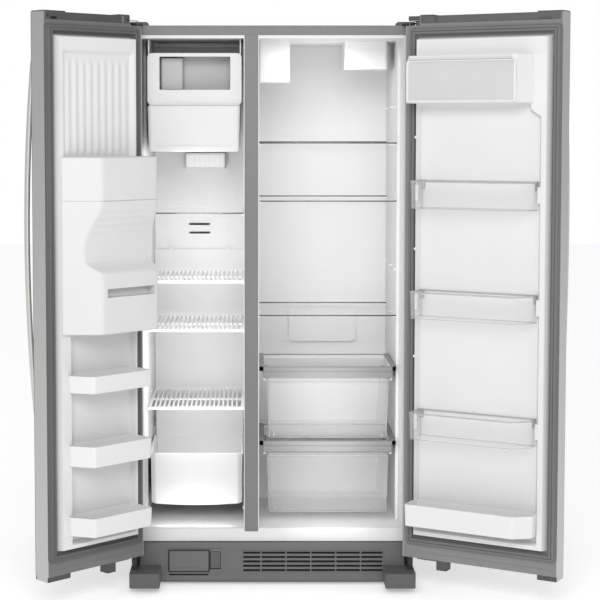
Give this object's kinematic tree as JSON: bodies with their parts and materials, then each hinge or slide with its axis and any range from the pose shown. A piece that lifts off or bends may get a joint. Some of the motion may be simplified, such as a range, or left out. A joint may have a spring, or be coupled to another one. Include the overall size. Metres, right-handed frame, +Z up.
{
  "type": "side by side refrigerator",
  "caption": "Free-standing side by side refrigerator freezer with hinged doors, glass shelves, crisper drawers, a freezer basket, an ice maker and a through-door water and ice dispenser.",
  "frame": {"origin": "on the floor, under the centre of the cabinet without its doors", "axes": "+X to the viewer's right when facing the doors, +Y from the front to the back, +Z up"},
  "size_m": [1.5461, 1.0534, 1.679],
  "materials": {
    "outer_wrapper": "satin grey paint",
    "foam_insulation": "foam",
    "cabinet_liner": "satin white",
    "mullion_cover": "satin grey",
    "base_frame": "dark grey",
    "toe_grille": "grained grey",
    "hinge_brackets": "zinc plated",
    "hinge_covers": "grained grey",
    "evaporator_cover": "satin white",
    "evaporator": "bare",
    "ice_maker_housing": "satin white",
    "ice_maker": "light grey",
    "control_housing": "white",
    "light_lens": "frosted",
    "compressor": "black",
    "condenser": "black",
    "fan_shroud": "black",
    "rear_connections": "black",
    "crisper_frames": "satin grey",
    "crisper_glass": "clear",
    "drain_pan": "black",
    "freezer_door_skin": "brushed",
    "freezer_door_inner": "satin white",
    "freezer_gasket": "grey",
    "freezer_handle": "brushed",
    "freezer_door_caps": "grained grey",
    "dispenser_housing": "satin white",
    "dispenser_bezel": "dark",
    "fridge_door_skin": "brushed",
    "fridge_door_inner": "satin white",
    "fridge_gasket": "grey",
    "fridge_handle": "brushed",
    "fridge_door_caps": "grained grey",
    "condenser_fan": "black",
    "ice_maker_arm": "white",
    "ice_bin": "white",
    "freezer_glass_shelf": "clear",
    "freezer_shelf_upper": "white",
    "freezer_shelf_lower": "white",
    "basket_shelf": "white",
    "freezer_basket": "white",
    "glass_shelf_top": "clear",
    "glass_shelf_middle": "clear",
    "glass_shelf_bottom": "clear",
    "crisper_upper": "clear plastic",
    "crisper_lower": "clear plastic",
    "filter_cover": "grained grey",
    "filter_cartridge": "white",
    "filter_button": "grey",
    "levelling_leg_left": "dark",
    "levelling_leg_right": "dark",
    "front_rollers": "black",
    "rear_rollers": "black",
    "dispenser_paddle": "black",
    "dispenser_tray": "dark grey",
    "dairy_cover": "frosted",
    "door_bin_top": "clear plastic",
    "door_bin_middle": "clear plastic",
    "door_bin_bottom": "clear plastic"
  },
  "bodies": {
    "cabinet": {"outer_wrapper": "outer_wrapper", "foam_insulation": "foam_insulation", "cabinet_liner": "cabinet_liner", "mullion_cover": "mullion_cover", "base_frame": "base_frame", "toe_grille": "toe_grille", "hinge_brackets": "hinge_brackets", "hinge_covers": "hinge_covers", "evaporator_cover": "evaporator_cover", "evaporator": "evaporator", "ice_maker_housing": "ice_maker_housing", "ice_maker": "ice_maker", "control_housing": "control_housing", "light_lens": "light_lens", "compressor": "compressor", "condenser": "condenser", "fan_shroud": "fan_shroud", "rear_connections": "rear_connections", "crisper_frames": "crisper_frames", "crisper_glass": "crisper_glass", "drain_pan": "drain_pan"},
    "freezer_door": {"freezer_door_skin": "freezer_door_skin", "freezer_door_inner": "freezer_door_inner", "freezer_gasket": "freezer_gasket", "freezer_handle": "freezer_handle", "freezer_door_caps": "freezer_door_caps", "dispenser_housing": "dispenser_housing", "dispenser_bezel": "dispenser_bezel"},
    "fridge_door": {"fridge_door_skin": "fridge_door_skin", "fridge_door_inner": "fridge_door_inner", "fridge_gasket": "fridge_gasket", "fridge_handle": "fridge_handle", "fridge_door_caps": "fridge_door_caps"},
    "condenser_fan": {"condenser_fan": "condenser_fan"},
    "ice_maker_arm": {"ice_maker_arm": "ice_maker_arm"},
    "ice_bin": {"ice_bin": "ice_bin"},
    "freezer_glass_shelf": {"freezer_glass_shelf": "freezer_glass_shelf"},
    "freezer_shelf_upper": {"freezer_shelf_upper": "freezer_shelf_upper"},
    "freezer_shelf_lower": {"freezer_shelf_lower": "freezer_shelf_lower"},
    "basket_shelf": {"basket_shelf": "basket_shelf"},
    "freezer_basket": {"freezer_basket": "freezer_basket"},
    "glass_shelf_top": {"glass_shelf_top": "glass_shelf_top"},
    "glass_shelf_middle": {"glass_shelf_middle": "glass_shelf_middle"},
    "glass_shelf_bottom": {"glass_shelf_bottom": "glass_shelf_bottom"},
    "crisper_upper": {"crisper_upper": "crisper_upper"},
    "crisper_lower": {"crisper_lower": "crisper_lower"},
    "filter_cover": {"filter_cover": "filter_cover"},
    "filter_cartridge": {"filter_cartridge": "filter_cartridge"},
    "filter_button": {"filter_button": "filter_button"},
    "levelling_leg_left": {"levelling_leg_left": "levelling_leg_left"},
    "levelling_leg_right": {"levelling_leg_right": "levelling_leg_right"},
    "front_rollers": {"front_rollers": "front_rollers"},
    "rear_rollers": {"rear_rollers": "rear_rollers"},
    "dispenser_paddle": {"dispenser_paddle": "dispenser_paddle"},
    "dispenser_tray": {"dispenser_tray": "dispenser_tray"},
    "dairy_cover": {"dairy_cover": "dairy_cover"},
    "door_bin_top": {"door_bin_top": "door_bin_top"},
    "door_bin_middle": {"door_bin_middle": "door_bin_middle"},
    "door_bin_bottom": {"door_bin_bottom": "door_bin_bottom"}
  },
  "joints": [
    {"name": "freezer_door_hinge", "type": "hinge", "parent": "cabinet", "child": "freezer_door", "pos_m": [-0.406, -0.403, 0.9], "axis": [0, 0, -1], "range_deg": [-135, 10]},
    {"name": "fridge_door_hinge", "type": "hinge", "parent": "cabinet", "child": "fridge_door", "pos_m": [0.406, -0.403, 0.9], "axis": [0, 0, 1], "range_deg": [-150, 4]},
    {"name": "ice_bin_slide", "type": "slide", "parent": "cabinet", "child": "ice_bin", "axis": [0, -1, 0], "range_m": [0, 0.22]},
    {"name": "freezer_glass_shelf_slide", "type": "slide", "parent": "cabinet", "child": "freezer_glass_shelf", "axis": [0, -1, 0], "range_m": [0, 0.14]},
    {"name": "freezer_shelf_upper_slide", "type": "slide", "parent": "cabinet", "child": "freezer_shelf_upper", "axis": [0, -1, 0], "range_m": [0, 0.14]},
    {"name": "freezer_shelf_lower_slide", "type": "slide", "parent": "cabinet", "child": "freezer_shelf_lower", "axis": [0, -1, 0], "range_m": [0, 0.14]},
    {"name": "basket_shelf_slide", "type": "slide", "parent": "cabinet", "child": "basket_shelf", "axis": [0, -1, 0], "range_m": [0, 0.14]},
    {"name": "freezer_basket_slide", "type": "slide", "parent": "cabinet", "child": "freezer_basket", "axis": [0, -1, 0], "range_m": [0, 0.19]},
    {"name": "glass_shelf_top_slide", "type": "slide", "parent": "cabinet", "child": "glass_shelf_top", "axis": [0, -1, 0], "range_m": [0, 0.2]},
    {"name": "glass_shelf_middle_slide", "type": "slide", "parent": "cabinet", "child": "glass_shelf_middle", "axis": [0, -1, 0], "range_m": [0, 0.2]},
    {"name": "glass_shelf_bottom_slide", "type": "slide", "parent": "cabinet", "child": "glass_shelf_bottom", "axis": [0, -1, 0], "range_m": [0, 0.2]},
    {"name": "crisper_upper_slide", "type": "slide", "parent": "cabinet", "child": "crisper_upper", "axis": [0, -1, 0], "range_m": [0, 0.24]},
    {"name": "crisper_lower_slide", "type": "slide", "parent": "cabinet", "child": "crisper_lower", "axis": [0, -1, 0], "range_m": [0, 0.24]},
    {"name": "filter_cover_hinge", "type": "hinge", "parent": "cabinet", "child": "filter_cover", "pos_m": [-0.2467, -0.37225, 0.0425], "axis": [1, 0, 0], "range_deg": [0, 85]},
    {"name": "filter_cartridge_turn", "type": "hinge", "parent": "cabinet", "child": "filter_cartridge", "pos_m": [-0.2467, -0.3, 0.074], "axis": [0, 1, 0], "range_deg": [0, 90]},
    {"name": "filter_button_press", "type": "slide", "parent": "cabinet", "child": "filter_button", "axis": [0, 1, 0], "range_m": [0, 0.003], "stiffness_N_per_m": 300},
    {"name": "levelling_leg_left_turn", "type": "hinge", "parent": "cabinet", "child": "levelling_leg_left", "pos_m": [-0.375, -0.32, 0.05], "axis": [0, 0, 1], "continuous": true},
    {"name": "levelling_leg_right_turn", "type": "hinge", "parent": "cabinet", "child": "levelling_leg_right", "pos_m": [0.375, -0.32, 0.05], "axis": [0, 0, 1], "continuous": true},
    {"name": "front_rollers_spin", "type": "hinge", "parent": "cabinet", "child": "front_rollers", "pos_m": [0, -0.275, 0.026], "axis": [1, 0, 0], "continuous": true},
    {"name": "rear_rollers_spin", "type": "hinge", "parent": "cabinet", "child": "rear_rollers", "pos_m": [0, 0.3, 0.022], "axis": [1, 0, 0], "continuous": true},
    {"name": "condenser_fan_spin", "type": "hinge", "parent": "cabinet", "child": "condenser_fan", "pos_m": [0.004, 0.235, 0.138], "axis": [1, 0, 0], "continuous": true},
    {"name": "ice_maker_arm_lift", "type": "hinge", "parent": "cabinet", "child": "ice_maker_arm", "pos_m": [-0.34, -0.2, 1.476], "axis": [1, 0, 0], "range_deg": [0, 50]},
    {"name": "dispenser_paddle_press", "type": "hinge", "parent": "freezer_door", "child": "dispenser_paddle", "pos_m": [-0.53116, -0.52674, 1.15], "axis": [-0.7071, -0.7071, 0], "range_deg": [0, 14], "stiffness_Nm_per_rad": 0.6},
    {"name": "dispenser_tray_slide", "type": "slide", "parent": "freezer_door", "child": "dispenser_tray", "axis": [-0.7071, 0.7071, 0], "range_m": [0, 0.08]},
    {"name": "dairy_cover_lift", "type": "hinge", "parent": "fridge_door", "child": "dairy_cover", "pos_m": [0.52487, -0.5871, 1.546], "axis": [-0.866, 0.5, 0], "range_deg": [0, 80]},
    {"name": "door_bin_top_lift", "type": "slide", "parent": "fridge_door", "child": "door_bin_top", "axis": [0, 0, 1], "range_m": [0, 0.06]},
    {"name": "door_bin_middle_lift", "type": "slide", "parent": "fridge_door", "child": "door_bin_middle", "axis": [0, 0, 1], "range_m": [0, 0.06]},
    {"name": "door_bin_bottom_lift", "type": "slide", "parent": "fridge_door", "child": "door_bin_bottom", "axis": [0, 0, 1], "range_m": [0, 0.06]}
  ]
}
